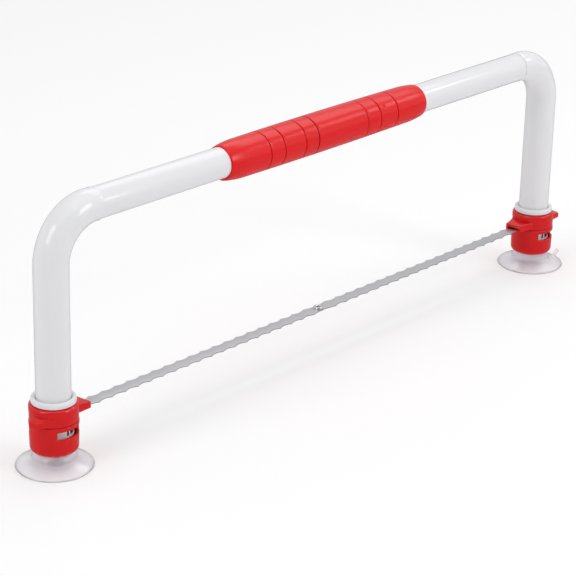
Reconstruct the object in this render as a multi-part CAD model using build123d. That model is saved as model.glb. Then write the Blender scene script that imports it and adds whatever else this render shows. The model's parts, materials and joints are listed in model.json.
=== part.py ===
from build123d import *
import os
from math import cos, radians, sin

# Cake leveler. A tube frame stands on two suction cups and carries a scalloped blade between two
# collars, which slide on the legs and clamp there to set the height of the cake layer.
# +Z is up and +X runs from the left leg to the right leg, along the blade.
# The origin is on the worktop, midway between the two legs.

# Tube frame
leg_spacing = 336.0
bar_axis_height = 113.2
bend_radius = 21.8
leg_radius = 7.65
leg_wall = 1.8
leg_bottom_height = 9.2
bar_radius = 7.05
bar_wall = 1.3
bend_end_radius = 7.35
bend_end_round = 0.25
bend_taper_angle = 28.0
bend_taper_steps = 4
bend_tail = 2.1

# Dowels inside the two seams of the frame
coupler_in_bar = 16.0
coupler_in_bend = 4.0
coupler_wall = 1.6
coupler_chamfer = 0.5
coupler_fit = 0.05

# Grip sleeve on the bar, which sits a little left of the middle and is thicker on its underside
grip_left_end = -69.0
grip_left_shoulder = -58.0
grip_right_shoulder = 53.0
grip_right_end = 64.3
grip_left_shoulder_radius = 9.05
grip_middle_radius = 9.25
grip_right_shoulder_radius = 8.8
grip_end_radius = 7.9
grip_drop = 0.35
grip_end_round = 0.5
grip_fit = 0.05
grip_groove_places = (-45.1, -36.0, -22.3, -13.6, 20.6, 29.8, 42.1)
grip_groove_width = 0.5
grip_groove_depth = 0.4

# Suction cups, turned about each leg
cup_rim_radius = 17.05
cup_rim_height = 1.4
cup_rim_round = 0.5
cup_seal_width = 1.0
cup_hollow_height = 2.4
cup_neck_radius = 7.6
cup_neck_height = 4.6
cup_neck_round = 0.8
cup_flare_radius = 12.0
cup_flare_height = 2.6
cup_head_radius = 9.2
cup_head_under_height = 6.4
cup_head_under_round = 0.7
cup_head_height = 7.7
cup_head_round = 0.5
stem_radius = 2.3
stem_length = 4.2
stem_bulb_radius = 3.2
stem_bulb_height = 2.6
stem_bulb_round = 0.9

# Lift tab of a suction cup
tab_root_radius = 16.0
tab_tip_radius = 20.1
tab_root_height = 0.6
tab_tip_height = 3.3
tab_sag = 0.35
tab_thickness = 0.8
tab_width = 2.6
tab_end_round = 0.35
left_tab_azimuth = 49.0
right_tab_azimuth = -13.0

# Plug in the lower end of a leg
plug_flange_height = 1.2
plug_height = 14.0
plug_fit = 0.05
plug_chamfer = 0.6
plug_roof = 2.4
plug_socket_fit = 0.15
plug_bulb_clearance = 0.2

# Clamp cup, the lower red piece of a collar
clamp_bottom_height = 8.0
clamp_height = 14.1
clamp_top_radius = 10.9
clamp_bottom_radius = 10.5
clamp_bottom_round = 1.9
clamp_top_round = 0.35
clamp_leg_clearance = 0.25
clamp_floor = 2.6
clamp_cone_height = 2.2
clamp_bore_radius = 9.15
clamp_bead_inset = 0.45
clamp_bead_height = 1.0
clamp_bead_drop = 0.7
window_rise = 8.5
window_height = 3.6
window_round = 0.5
window_start_azimuth = -124.0
window_sweep_angle = 98.0

# Wing ring, the upper red piece of a collar
ring_gap = 0.2
ring_height = 7.8
ring_radius = 10.8
ring_step = 0.12
ring_fit = 0.1
ring_top_round = 1.0
ring_bottom_round = 0.25

# Wings on the ring, with their reach measured from the leg's axis
wing_rise = 0.4
wing_root_height = 4.0
wing_flared_root_angle = 38.0
wing_flank_sag_share = 0.17
wing_edge_round = 0.35
inner_wing_reach = 16.8
inner_wing_half_width = 4.3
inner_wing_tip_height = 3.3
inner_wing_slant = 1.3
left_inner_wing_straight_root_angle = 25.0
right_outer_wing_reach = 17.1
right_outer_wing_half_width = 4.4
right_outer_wing_tip_height = 2.55
right_outer_wing_bulge = 1.9
right_outer_wing_straight_root_angle = 29.0
left_outer_wing_reach = 14.1
left_outer_wing_half_width = 2.5
left_outer_wing_tip_height = 2.75
left_outer_wing_straight_root_angle = 15.0
left_outer_wing_azimuth = 191.0

# Slot for the blade's end, and the pin that holds the end there
slot_rise = 0.45
slot_height = 1.3
slot_half_width = 3.0
slot_start_radius = 11.7
blade_pin_radius = 0.85
blade_pin_fit = 0.05
blade_pin_place = 13.7
blade_pin_length = 2.2

# Collet, the white slotted sleeve between collar and leg
collet_leg_clearance = 0.1
collet_wall = 0.65
lip_gap = 0.4
lip_height = 2.5
lip_radius = 9.8
lip_top_round = 0.8
lip_bevel = 0.6
collet_bottom_rise = 5.9
collet_rim_height = 2.3
collet_rim_radius = 8.8
collet_rim_chamfer = 0.45
collet_slit_width = 0.8
collet_slit_height = 9.5
collet_slit_count = 4

# Blade, scalloped on both edges
blade_thickness = 0.5
blade_float = 0.05
blade_end_inset = 12.0
blade_end_half_width = 2.6
blade_end_round = 0.8
tooth_pitch = 7.62
tooth_half_width = 3.75
gullet_half_width = 2.55
first_tooth_place = 7.9
blade_plain_end = 6.0

# Hollow rivet near the middle of the blade
eyelet_place = -0.8
eyelet_hole_radius = 1.1
eyelet_shank_radius = 1.5
eyelet_fit = 0.05
eyelet_flange_radius = 2.4
eyelet_flange_height = 1.0
eyelet_roll_radius = 2.2
eyelet_roll_height = 0.5
eyelet_round = 0.25

# One overrun serves every cut, and one small length tells edges apart
overrun = 1.0
edge_match = 0.01

# Heights and radii that follow from the sizes above
half_spacing = leg_spacing / 2
bend_start_height = bar_axis_height - bend_radius
bar_half_length = half_spacing - bend_radius - bend_tail
leg_bore_radius = leg_radius - leg_wall
bar_bore_radius = bar_radius - bar_wall
clamp_top_height = clamp_bottom_height + clamp_height
ring_bottom_height = clamp_top_height + ring_gap
ring_top_height = ring_bottom_height + ring_height
wing_bottom_height = ring_bottom_height + wing_rise
wing_top_height = wing_bottom_height + wing_root_height
slot_floor_height = wing_bottom_height + slot_rise
blade_bottom_height = slot_floor_height + blade_float
blade_top_height = blade_bottom_height + blade_thickness
collet_bore_radius = leg_radius + collet_leg_clearance
collet_radius = collet_bore_radius + collet_wall
lip_bottom_height = ring_top_height + lip_gap
lip_top_height = lip_bottom_height + lip_height


def turned(corners):
    """A solid turned about the Z axis from the (radius, height) corners of its section."""
    section = make_face(Polyline(*[(radius, 0, height) for radius, height in corners], close=True))
    return revolve(section, Axis.Z)


def rod(radius, bottom, top):
    """An upright cylinder between two heights."""
    return Pos(0, 0, bottom) * Cylinder(radius, top - bottom, align=(Align.CENTER, Align.CENTER, Align.MIN))


def lying_rod(radius, start, end):
    """A cylinder along the bar's axis between two places in X."""
    base = Plane(origin=(start, 0, bar_axis_height), z_dir=(1, 0, 0))
    return extrude(base * Circle(radius), end - start)


def circles_of(solid, radius):
    """The round edges of a solid that have one radius."""
    rounds = solid.edges().filter_by(GeomType.CIRCLE)
    return rounds.filter_by(lambda edge: abs(edge.radius - radius) < edge_match)


def circles_at(solid, height, radius):
    """The round edges of an upright turned solid at one height and one radius."""
    return circles_of(solid, radius).filter_by(lambda edge: abs(edge.arc_center.Z - height) < edge_match)


def bend_section(angle, radius):
    """A round section of the left bend, with the angle counted from the leg's top."""
    turn = radians(angle)
    across = bend_radius - half_spacing - bend_radius * cos(turn)
    height = bend_start_height + bend_radius * sin(turn)
    return Plane(origin=(across, 0, height), z_dir=(sin(turn), 0, cos(turn))) * Circle(radius)


def bend(radius, angle):
    """The left bend with one radius all the way, over the given angle."""
    axis = Axis((bend_radius - half_spacing, 0, bend_start_height), (0, 1, 0))
    return revolve(bend_section(0, radius), axis, revolution_arc=angle)


def make_leg():
    """The left leg: upright, bend and the last stretch that tapers to the seam."""
    upright = Pos(-half_spacing, 0, 0) * rod(leg_radius, leg_bottom_height, bend_start_height)
    steady_angle = 90 - bend_taper_angle
    sections = []
    for step in range(bend_taper_steps + 1):
        taper_share = step / bend_taper_steps
        radius = leg_radius - (leg_radius - bend_end_radius) * taper_share**2
        sections.append(bend_section(steady_angle + bend_taper_angle * taper_share, radius))
    taper = loft(sections)
    tail = lying_rod(bend_end_radius, -bar_half_length - bend_tail, -bar_half_length)
    tail = fillet(tail.edges().filter_by(GeomType.CIRCLE).sort_by(Axis.X)[-1], bend_end_round)
    bore = Pos(-half_spacing, 0, 0) * rod(leg_bore_radius, leg_bottom_height - overrun, bend_start_height)
    seat_start = -bar_half_length - bend_tail - coupler_in_bend
    seat = lying_rod(bar_bore_radius, seat_start, -bar_half_length + overrun)
    tube = upright + bend(leg_radius, steady_angle) + taper + tail
    return tube - bore - bend(leg_bore_radius, 90) - seat


def make_bar():
    """The straight tube between the two seams."""
    tube = lying_rod(bar_radius, -bar_half_length, bar_half_length)
    return tube - lying_rod(bar_bore_radius, -bar_half_length - overrun, bar_half_length + overrun)


def make_coupler():
    """The dowel inside the left seam."""
    start = -bar_half_length - bend_tail - coupler_in_bend
    end = -bar_half_length + coupler_in_bar
    radius = bar_bore_radius - coupler_fit
    dowel = lying_rod(radius, start, end) - lying_rod(radius - coupler_wall, start - overrun, end + overrun)
    return chamfer(circles_of(dowel, radius), coupler_chamfer)


def make_grip():
    """The soft sleeve: a long shallow crown, two tapered ends, thin grooves all round and a bore."""
    left_end = (grip_left_end, grip_end_radius)
    left_shoulder = (grip_left_shoulder, grip_left_shoulder_radius)
    right_shoulder = (grip_right_shoulder, grip_right_shoulder_radius)
    right_end = (grip_right_end, grip_end_radius)
    outline = [
        TangentArc(left_shoulder, left_end, tangent=(-1, 0)),
        ThreePointArc(left_shoulder, (0, grip_middle_radius), right_shoulder),
        TangentArc(right_shoulder, right_end, tangent=(1, 0)),
        Polyline(right_end, (grip_right_end, 0), (grip_left_end, 0), left_end),
    ]
    section = Plane.XZ * make_face(outline)
    sleeve = revolve(section, Axis.X)
    sleeve = fillet(circles_of(sleeve, grip_end_radius), grip_end_round)
    groove_outer = grip_middle_radius + overrun
    groove_floor = (grip_middle_radius + grip_right_shoulder_radius) / 2 - grip_groove_depth
    for place in grip_groove_places:
        cutter = Cylinder(groove_outer, grip_groove_width) - Cylinder(groove_floor, grip_groove_width)
        sleeve -= Pos(place, 0, 0) * Rot(0, 90, 0) * cutter
    bore = lying_rod(bar_radius + grip_fit, grip_left_end - overrun, grip_right_end + overrun)
    return Pos(0, 0, bar_axis_height - grip_drop) * sleeve - bore


def make_suction_cup(tab_azimuth):
    """A flared cup with a hollow underside, a head with a neck, a stem with a bulb and a lift tab."""
    seal_radius = cup_rim_radius - cup_rim_round
    bulb_bottom = cup_head_height + stem_length
    bulb_top = bulb_bottom + stem_bulb_height
    flare = ThreePointArc(
        (cup_neck_radius, 0, cup_neck_height),
        (cup_flare_radius, 0, cup_flare_height),
        (seal_radius, 0, cup_rim_height),
    )
    rim = Polyline(
        (seal_radius, 0, cup_rim_height),
        (cup_rim_radius, 0, cup_rim_height - cup_rim_round),
        (cup_rim_radius, 0, cup_rim_round),
        (seal_radius, 0, 0),
        (0, 0, 0),
    )
    upper = Polyline(
        (0, 0, 0),
        (0, 0, bulb_top),
        (stem_bulb_radius, 0, bulb_top),
        (stem_bulb_radius, 0, bulb_bottom),
        (stem_radius, 0, bulb_bottom),
        (stem_radius, 0, cup_head_height),
        (cup_head_radius, 0, cup_head_height),
        (cup_head_radius, 0, cup_head_under_height),
        (cup_neck_radius, 0, cup_neck_height),
    )
    cup = revolve(make_face([flare, rim, upper]), Axis.Z)
    cup = fillet(circles_at(cup, cup_neck_height, cup_neck_radius), cup_neck_round)
    cup = fillet(circles_at(cup, cup_head_under_height, cup_head_radius), cup_head_under_round)
    hollow_radius = seal_radius - cup_seal_width
    dome_radius = (hollow_radius**2 + cup_hollow_height**2) / (2 * cup_hollow_height)
    cup -= Pos(0, 0, cup_hollow_height - dome_radius) * Sphere(dome_radius)
    cup = fillet(circles_at(cup, bulb_top, stem_bulb_radius), stem_bulb_round)
    cup = fillet(circles_at(cup, cup_head_height, cup_head_radius), cup_head_round)
    return cup + Rot(0, 0, tab_azimuth) * make_tab()


def make_tab():
    """The lift tab, a narrow strip that leaves the rim outward and curves up."""
    middle_radius = (tab_root_radius + tab_tip_radius) / 2
    middle_height = (tab_root_height + tab_tip_height) / 2 - tab_sag
    lower = ThreePointArc(
        (tab_root_radius, 0, tab_root_height),
        (middle_radius, 0, middle_height),
        (tab_tip_radius, 0, tab_tip_height),
    )
    upper = ThreePointArc(
        (tab_root_radius - tab_thickness, 0, tab_root_height + tab_thickness),
        (middle_radius - tab_thickness / 2, 0, middle_height + tab_thickness),
        (tab_tip_radius - tab_thickness / 2, 0, tab_tip_height + tab_thickness),
    )
    side = make_face([lower, Line(lower @ 1, upper @ 1), upper, Line(upper @ 0, lower @ 0)])
    strip = extrude(side, tab_width / 2, dir=(0, 1, 0), both=True)
    tip = strip.faces().sort_by(Axis.X)[-1]
    return fillet(tip.edges().filter_by(Axis.Y), tab_end_round)


def make_foot_plug():
    """The plug in the leg's end, with a socket in which the stem's bulb turns."""
    radius = leg_bore_radius - plug_fit
    flange_bottom = leg_bottom_height - plug_flange_height
    top = leg_bottom_height + plug_height
    bulb_bottom = cup_head_height + stem_length
    socket_bottom = bulb_bottom - plug_bulb_clearance
    socket_top = bulb_bottom + stem_bulb_height + plug_bulb_clearance
    plug = rod(leg_radius, flange_bottom, leg_bottom_height) + rod(radius, leg_bottom_height, top)
    plug = chamfer(circles_at(plug, top, radius), plug_chamfer)
    stem_hole = rod(stem_radius + plug_socket_fit, flange_bottom - overrun, socket_top)
    socket = rod(stem_bulb_radius + plug_socket_fit, socket_bottom, socket_top)
    core = rod(stem_bulb_radius + plug_socket_fit, socket_top + plug_roof, top + overrun)
    return plug - stem_hole - socket - core


def make_collet():
    """The white sleeve: a lip on top, a rim below and slits between, so that it closes on the leg."""
    bottom = clamp_bottom_height + collet_bottom_rise
    rim_top = bottom + collet_rim_height
    sleeve = turned(
        [
            (collet_bore_radius, bottom),
            (collet_rim_radius, bottom),
            (collet_rim_radius, rim_top),
            (collet_radius, rim_top),
            (collet_radius, lip_bottom_height),
            (lip_radius, lip_bottom_height),
            (lip_radius, lip_top_height),
            (collet_bore_radius, lip_top_height),
        ]
    )
    sleeve = fillet(circles_at(sleeve, lip_top_height, lip_radius), lip_top_round)
    sleeve = chamfer(circles_at(sleeve, lip_top_height, collet_bore_radius), lip_bevel)
    sleeve = chamfer(circles_at(sleeve, bottom, collet_rim_radius), collet_rim_chamfer)
    for slit in range(collet_slit_count):
        azimuth = slit * 360 / collet_slit_count
        cutter = Box(
            lip_radius,
            collet_slit_width,
            collet_slit_height,
            align=(Align.MIN, Align.CENTER, Align.MIN),
        )
        sleeve -= Rot(0, 0, azimuth) * Pos(0, 0, rim_top) * cutter
    return sleeve


def make_window(azimuth):
    """The cutter of one window, a sector with rounded corners through the clamp cup's wall."""
    bottom = clamp_bottom_height + window_rise
    top = bottom + window_height
    near = clamp_bore_radius - overrun
    far = clamp_top_radius + overrun
    corners = [(near, 0, bottom), (far, 0, bottom), (far, 0, top), (near, 0, top)]
    sector = revolve(make_face(Polyline(*corners, close=True)), Axis.Z, revolution_arc=window_sweep_angle)
    straight = sector.edges().filter_by(GeomType.LINE)
    rounded = straight.filter_by(lambda edge: abs(edge.length - (far - near)) < edge_match)
    return Rot(0, 0, azimuth) * fillet(rounded, window_round)


def make_clamp_cup():
    """The cup that turns about the leg: a floor, a cone that closes the collet and two windows."""
    bottom = clamp_bottom_height
    floor_top = bottom + clamp_floor
    cone_top = floor_top + clamp_cone_height
    bead_top = clamp_top_height - clamp_bead_drop
    bead_bottom = bead_top - clamp_bead_height
    bead_radius = clamp_bore_radius - clamp_bead_inset
    leg_hole_radius = leg_radius + clamp_leg_clearance
    cup = turned(
        [
            (leg_hole_radius, bottom),
            (clamp_bottom_radius, bottom),
            (clamp_top_radius, clamp_top_height),
            (clamp_bore_radius, clamp_top_height),
            (clamp_bore_radius, bead_top),
            (bead_radius, bead_top),
            (bead_radius, bead_bottom),
            (clamp_bore_radius, bead_bottom),
            (clamp_bore_radius, cone_top),
            (leg_hole_radius, floor_top),
        ]
    )
    cup = fillet(circles_at(cup, bottom, clamp_bottom_radius), clamp_bottom_round)
    cup = fillet(circles_at(cup, clamp_top_height, clamp_top_radius), clamp_top_round)
    for half_turn in range(2):
        cup -= make_window(window_start_azimuth + half_turn * 180)
    return cup


def make_wing(reach, half_width, tip_height, root_angles, slant=0, bulge=0):
    """One wing towards +X, with a top that falls to the tip.

    The root angles say how far round the ring its -Y and its +Y flank start. A wide one gives a
    flared flank. A slanted tip reaches further on its -Y side, and a bulging one is rounded in plan.
    """
    lower_angle, upper_angle = root_angles
    lower_root = (ring_radius * cos(radians(lower_angle)), -ring_radius * sin(radians(lower_angle)))
    upper_root = (ring_radius * cos(radians(upper_angle)), ring_radius * sin(radians(upper_angle)))
    lower_tip = (reach + slant / 2, -half_width)
    upper_tip = (reach - slant / 2, half_width)
    lower_sag = wing_flank_sag_share * (-lower_root[1] - half_width)
    upper_sag = wing_flank_sag_share * (upper_root[1] - half_width)
    lower_middle = ((lower_root[0] + reach) / 2, (lower_root[1] - half_width) / 2 + lower_sag)
    upper_middle = ((upper_root[0] + reach) / 2, (upper_root[1] + half_width) / 2 - upper_sag)
    if bulge > 0:
        tip = ThreePointArc(lower_tip, (reach + bulge, 0), upper_tip)
    else:
        tip = Line(lower_tip, upper_tip)
    outline = [
        ThreePointArc(lower_root, lower_middle, lower_tip),
        tip,
        ThreePointArc(upper_tip, upper_middle, upper_root),
        Polyline(upper_root, (collet_radius, 0), lower_root),
    ]
    slab = Pos(0, 0, wing_bottom_height) * extrude(make_face(outline), wing_root_height)
    tip_top = wing_bottom_height + tip_height
    side = Polyline(
        (0, 0, wing_bottom_height),
        (reach + slant + bulge + overrun, 0, wing_bottom_height),
        (reach + slant + bulge + overrun, 0, tip_top),
        (reach, 0, tip_top),
        (ring_radius, 0, wing_top_height),
        (0, 0, wing_top_height),
        close=True,
    )
    wing = slab & extrude(make_face(side), ring_radius, dir=(0, 1, 0), both=True)
    corners = wing.edges().filter_by(Axis.Z).sort_by(Axis.X)[-2:]
    wing = fillet(corners, wing_edge_round)
    return wing


def make_wing_ring(inner_root_angles, outer_wing):
    """The ring with its slotted inner wing towards +X and the given outer wing."""
    ring = turned(
        [
            (collet_radius + ring_fit, ring_bottom_height),
            (ring_radius - ring_step, ring_bottom_height),
            (ring_radius - ring_step, wing_top_height),
            (ring_radius, wing_top_height),
            (ring_radius, ring_top_height),
            (collet_radius + ring_fit, ring_top_height),
        ]
    )
    ring = fillet(circles_at(ring, ring_top_height, ring_radius), ring_top_round)
    ring = fillet(circles_at(ring, ring_bottom_height, ring_radius - ring_step), ring_bottom_round)
    inner_wing = make_wing(
        inner_wing_reach,
        inner_wing_half_width,
        inner_wing_tip_height,
        inner_root_angles,
        slant=inner_wing_slant,
    )
    bore = rod(collet_radius + ring_fit, ring_bottom_height - overrun, ring_top_height + overrun)
    slot = Pos(slot_start_radius, 0, slot_floor_height) * Box(
        inner_wing_reach,
        2 * slot_half_width,
        slot_height,
        align=(Align.MIN, Align.CENTER, Align.MIN),
    )
    pin_top = wing_bottom_height + blade_pin_length
    pin_hole = Pos(blade_pin_place, 0, 0) * rod(blade_pin_radius, wing_bottom_height - overrun, pin_top)
    return ring + inner_wing + outer_wing - bore - slot - pin_hole


def make_blade_pin():
    """The pin through the wing's floor and the blade's end."""
    return Pos(blade_pin_place, 0, 0) * rod(
        blade_pin_radius, wing_bottom_height, wing_bottom_height + blade_pin_length
    )


def scalloped_edge(side):
    """One edge of the blade from its left end to its right end, on the +Y or the -Y side."""
    tip = half_spacing - blade_end_inset
    end_width = side * blade_end_half_width
    run_out = tooth_pitch / 2
    toothed_length = tip - blade_plain_end - run_out - first_tooth_place
    steps = range(int(toothed_length / tooth_pitch) + 1)
    right_teeth = [first_tooth_place + step * tooth_pitch for step in steps]
    left_teeth = [-place for place in reversed(right_teeth)]
    teeth = left_teeth + right_teeth
    tooth = side * tooth_half_width
    gullet = side * gullet_half_width
    edge = [
        Line((-tip, end_width), (teeth[0] - run_out, end_width)),
        TangentArc((teeth[0] - run_out, end_width), (teeth[0], tooth), tangent=(1, 0)),
    ]
    for start, end in zip(teeth, teeth[1:]):
        edge.append(ThreePointArc((start, tooth), ((start + end) / 2, gullet), (end, tooth)))
    edge.append(TangentArc((teeth[-1] + run_out, end_width), (teeth[-1], tooth), tangent=(-1, 0)))
    edge.append(Line((teeth[-1] + run_out, end_width), (tip, end_width)))
    return edge


def make_blade():
    """The flat steel strip, with a hole at each end for its pin and one in the middle for the rivet."""
    tip = half_spacing - blade_end_inset
    left_end = Line((-tip, -blade_end_half_width), (-tip, blade_end_half_width))
    right_end = Line((tip, -blade_end_half_width), (tip, blade_end_half_width))
    outline = make_face(scalloped_edge(1) + scalloped_edge(-1) + [left_end, right_end])
    corners = outline.vertices().filter_by(lambda corner: abs(corner.X) > tip - blade_end_round)
    outline = fillet(corners, blade_end_round)
    pin_place = half_spacing - blade_pin_place
    pin_hole = Circle(blade_pin_radius + blade_pin_fit)
    outline -= Pos(eyelet_place, 0) * Circle(eyelet_shank_radius + eyelet_fit)
    outline -= Pos(-pin_place, 0) * pin_hole
    outline -= Pos(pin_place, 0) * pin_hole
    return Pos(0, 0, blade_bottom_height) * extrude(outline, blade_thickness)


def make_eyelet():
    """The hollow rivet: a tall flange above the blade and a low roll below it."""
    top = blade_top_height + eyelet_flange_height
    bottom = blade_bottom_height - eyelet_roll_height
    eyelet = turned(
        [
            (eyelet_hole_radius, bottom),
            (eyelet_roll_radius, bottom),
            (eyelet_roll_radius, blade_bottom_height),
            (eyelet_shank_radius, blade_bottom_height),
            (eyelet_shank_radius, blade_top_height),
            (eyelet_flange_radius, blade_top_height),
            (eyelet_flange_radius, top),
            (eyelet_hole_radius, top),
        ]
    )
    eyelet = fillet(circles_at(eyelet, top, eyelet_flange_radius), eyelet_round)
    eyelet = fillet(circles_at(eyelet, top, eyelet_hole_radius), eyelet_round)
    return Pos(eyelet_place, 0, 0) * fillet(circles_at(eyelet, bottom, eyelet_roll_radius), eyelet_round)


def mirrored(solid):
    """The same piece on the right side."""
    return mirror(solid, about=Plane.YZ)


left_side = Pos(-half_spacing, 0, 0)
right_side = Pos(half_spacing, 0, 0) * Rot(0, 0, 180)

left_leg = make_leg()
left_coupler = make_coupler()
foot_plug = make_foot_plug()
collet = make_collet()
clamp_cup = make_clamp_cup()
blade_pin = make_blade_pin()

left_outer_wing = make_wing(
    left_outer_wing_reach,
    left_outer_wing_half_width,
    left_outer_wing_tip_height,
    (left_outer_wing_straight_root_angle, wing_flared_root_angle),
)
left_wing_ring = make_wing_ring(
    (left_inner_wing_straight_root_angle, wing_flared_root_angle),
    Rot(0, 0, left_outer_wing_azimuth) * left_outer_wing,
)
right_outer_wing = make_wing(
    right_outer_wing_reach,
    right_outer_wing_half_width,
    right_outer_wing_tip_height,
    (right_outer_wing_straight_root_angle, wing_flared_root_angle),
    bulge=right_outer_wing_bulge,
)
right_wing_ring = make_wing_ring(
    (wing_flared_root_angle, wing_flared_root_angle),
    Rot(0, 0, 180) * right_outer_wing,
)

nodes = {
    "top_bar": make_bar(),
    "left_leg": left_leg,
    "right_leg": mirrored(left_leg),
    "left_bar_coupler": left_coupler,
    "right_bar_coupler": mirrored(left_coupler),
    "grip": make_grip(),
    "left_foot_plug": left_side * foot_plug,
    "right_foot_plug": right_side * foot_plug,
    "left_suction_cup": left_side * make_suction_cup(left_tab_azimuth),
    "right_suction_cup": Pos(half_spacing, 0, 0) * make_suction_cup(right_tab_azimuth),
    "left_collet": left_side * collet,
    "right_collet": right_side * collet,
    "left_wing_ring": left_side * left_wing_ring,
    "right_wing_ring": right_side * right_wing_ring,
    "left_clamp_cup": left_side * clamp_cup,
    "right_clamp_cup": right_side * clamp_cup,
    "left_blade_pin": left_side * blade_pin,
    "right_blade_pin": right_side * blade_pin,
    "blade": make_blade(),
    "blade_eyelet": make_eyelet(),
}

os.makedirs("parts", exist_ok=True)
for name, solid in nodes.items():
    export_step(solid, f"parts/{name}.step")
    box = solid.bounding_box()
    print(name, "volume", round(solid.volume, 1), "size", [round(side, 2) for side in box.size])
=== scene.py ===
# %% [markdown]
# # A cake leveler on two suction cups
# A cake leveler cuts a cake into flat layers. A white tube frame stands over the cake on two clear
# suction cups, and a thin scalloped blade is stretched between two red collars on the legs.
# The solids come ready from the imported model, at their real size in metres. This file dresses them:
# it turns the pieces again with smooth rounds, gives each one a finish and lights the whole.

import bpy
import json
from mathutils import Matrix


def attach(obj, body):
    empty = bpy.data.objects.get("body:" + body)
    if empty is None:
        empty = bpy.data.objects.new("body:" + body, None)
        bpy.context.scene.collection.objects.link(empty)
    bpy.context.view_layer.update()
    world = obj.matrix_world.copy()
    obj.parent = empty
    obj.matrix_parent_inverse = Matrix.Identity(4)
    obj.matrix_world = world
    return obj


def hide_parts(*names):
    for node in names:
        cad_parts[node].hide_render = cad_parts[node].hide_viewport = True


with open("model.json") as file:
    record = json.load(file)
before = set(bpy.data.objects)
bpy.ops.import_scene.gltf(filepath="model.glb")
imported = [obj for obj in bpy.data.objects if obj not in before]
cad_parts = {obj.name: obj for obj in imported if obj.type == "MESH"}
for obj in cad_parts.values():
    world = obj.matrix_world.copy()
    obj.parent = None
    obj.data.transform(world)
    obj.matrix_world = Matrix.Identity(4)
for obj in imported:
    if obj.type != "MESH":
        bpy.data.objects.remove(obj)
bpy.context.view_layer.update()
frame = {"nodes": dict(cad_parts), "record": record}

# %% [markdown]
# The sizes of the real object are easiest to follow in millimetres, so each number below is one, and
# MM turns it into Blender's metres at the moment a point is placed.

# %% Units and tools
import json
from math import atan2, cos, pi, radians, sin, sqrt

import bmesh
import bpy
from mathutils import Matrix, Vector

MM = 0.001
scene = bpy.context.scene
scene.view_settings.view_transform = "Standard"

# %% [markdown]
# ## The camera
# The picture was taken with a long lens, a little above the bar and from the left, so that the near
# leg is only a little larger than the far one. The lens and the place were fitted to the outlines of
# the two legs, the bar and the two suction cups. The camera could be aimed with a Track To
# constraint, but it also leans a degree, so its three axes are written into its matrix.

# %% Camera
camera_place = Vector((-0.719558, -0.635729, 0.430679))
camera_yaw = radians(47.632)
camera_pitch = radians(22.485)
camera_roll = radians(1.423)
level_right = Vector((cos(camera_yaw), -sin(camera_yaw), 0))
forward = Vector(
    (sin(camera_yaw) * cos(camera_pitch), cos(camera_yaw) * cos(camera_pitch), -sin(camera_pitch))
)
level_up = level_right.cross(forward)
right = level_right * cos(camera_roll) + level_up * sin(camera_roll)
up = level_up * cos(camera_roll) - level_right * sin(camera_roll)
lens = bpy.data.cameras.new("picture_camera")
lens.sensor_width = 36
lens.lens = 136.67
lens.clip_start = 0.05
camera = bpy.data.objects.new("picture_camera", lens)
axes = Matrix((right, up, -forward)).transposed()
camera.matrix_world = Matrix.Translation(camera_place) @ axes.to_4x4()
scene.collection.objects.link(camera)
scene.camera = camera
print("camera looks along", [round(part, 3) for part in forward])

# %% [markdown]
# ## Light
# A glossy white bend is a mirror ball: the normal under each bright patch lies halfway between the eye
# and a lamp. The patches on the two bends show four soft boxes, one on the left, one in front on the
# right, a wide one high behind, and a small one on the right that draws the thin streak on the bar.
# A fifth one overhead lights the tops of the wings and of the grip.
# Each is placed by its compass angle from +X and its height angle, as the patches give them. The
# rest is the even light of a white room, which the world gives.

# %% Soft boxes and room
def soft_box(name, around, upward, distance, width, height, radiance):
    """A rectangular lamp that faces the object. Its radiance is what a mirror would show of it."""
    turn, rise = radians(around), radians(upward)
    place = distance * Vector((cos(rise) * cos(turn), cos(rise) * sin(turn), sin(rise)))
    lamp = bpy.data.lights.new(name, "AREA")
    lamp.shape = "RECTANGLE"
    lamp.size = width
    lamp.size_y = height
    lamp.energy = radiance * pi * width * height
    box = bpy.data.objects.new(name, lamp)
    box.location = place + Vector((0, 0, 0.08))
    box.rotation_euler = (-place).to_track_quat("-Z", "Y").to_euler()
    scene.collection.objects.link(box)
    print(name, [round(part, 2) for part in box.location])


soft_box("left_soft_box", 178, 33, 1.5, 0.60, 0.72, 3.5)
soft_box("right_soft_box", -71, 30, 1.5, 0.52, 0.62, 4.4)
soft_box("high_back_soft_box", 22, 50, 1.5, 1.30, 0.60, 1.5)
soft_box("small_streak_box", -26, 31, 1.5, 0.36, 0.26, 3.6)
soft_box("overhead_soft_box", -131, 78, 1.5, 1.20, 1.20, 0.75)

# %% [markdown]
# The room is brightest on both sides, a little darker across from the camera, where the blade and the
# rims of the cups mirror it, and dark behind the camera, which gives the tube its soft grey middle and
# keeps the red deep. The camera and clear pieces see plain white instead, through the Light Path node.

# %% Room
room = bpy.data.worlds.new("white_room")
scene.world = room
room.use_nodes = True
nodes = room.node_tree.nodes
links = room.node_tree.links
nodes.clear()
out = nodes.new("ShaderNodeOutputWorld")
shown = nodes.new("ShaderNodeMixShader")
lit = nodes.new("ShaderNodeBackground")
seen = nodes.new("ShaderNodeBackground")
path = nodes.new("ShaderNodeLightPath")
place = nodes.new("ShaderNodeTexCoord")
split = nodes.new("ShaderNodeSeparateXYZ")
height = nodes.new("ShaderNodeMapRange")
tone = nodes.new("ShaderNodeMixRGB")
seen_by = nodes.new("ShaderNodeMath")
seen_by.operation = "MAXIMUM"
facing = nodes.new("ShaderNodeVectorMath")
facing.operation = "DOT_PRODUCT"
facing.inputs[1].default_value = (-sin(camera_yaw), -cos(camera_yaw), 0)
behind_camera = nodes.new("ShaderNodeMapRange")
behind_camera.inputs["From Min"].default_value = 0.1
behind_camera.inputs["From Max"].default_value = 0.9
behind_camera.inputs["To Min"].default_value = 1.0
behind_camera.inputs["To Max"].default_value = 0.25
far_side = nodes.new("ShaderNodeMapRange")
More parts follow.
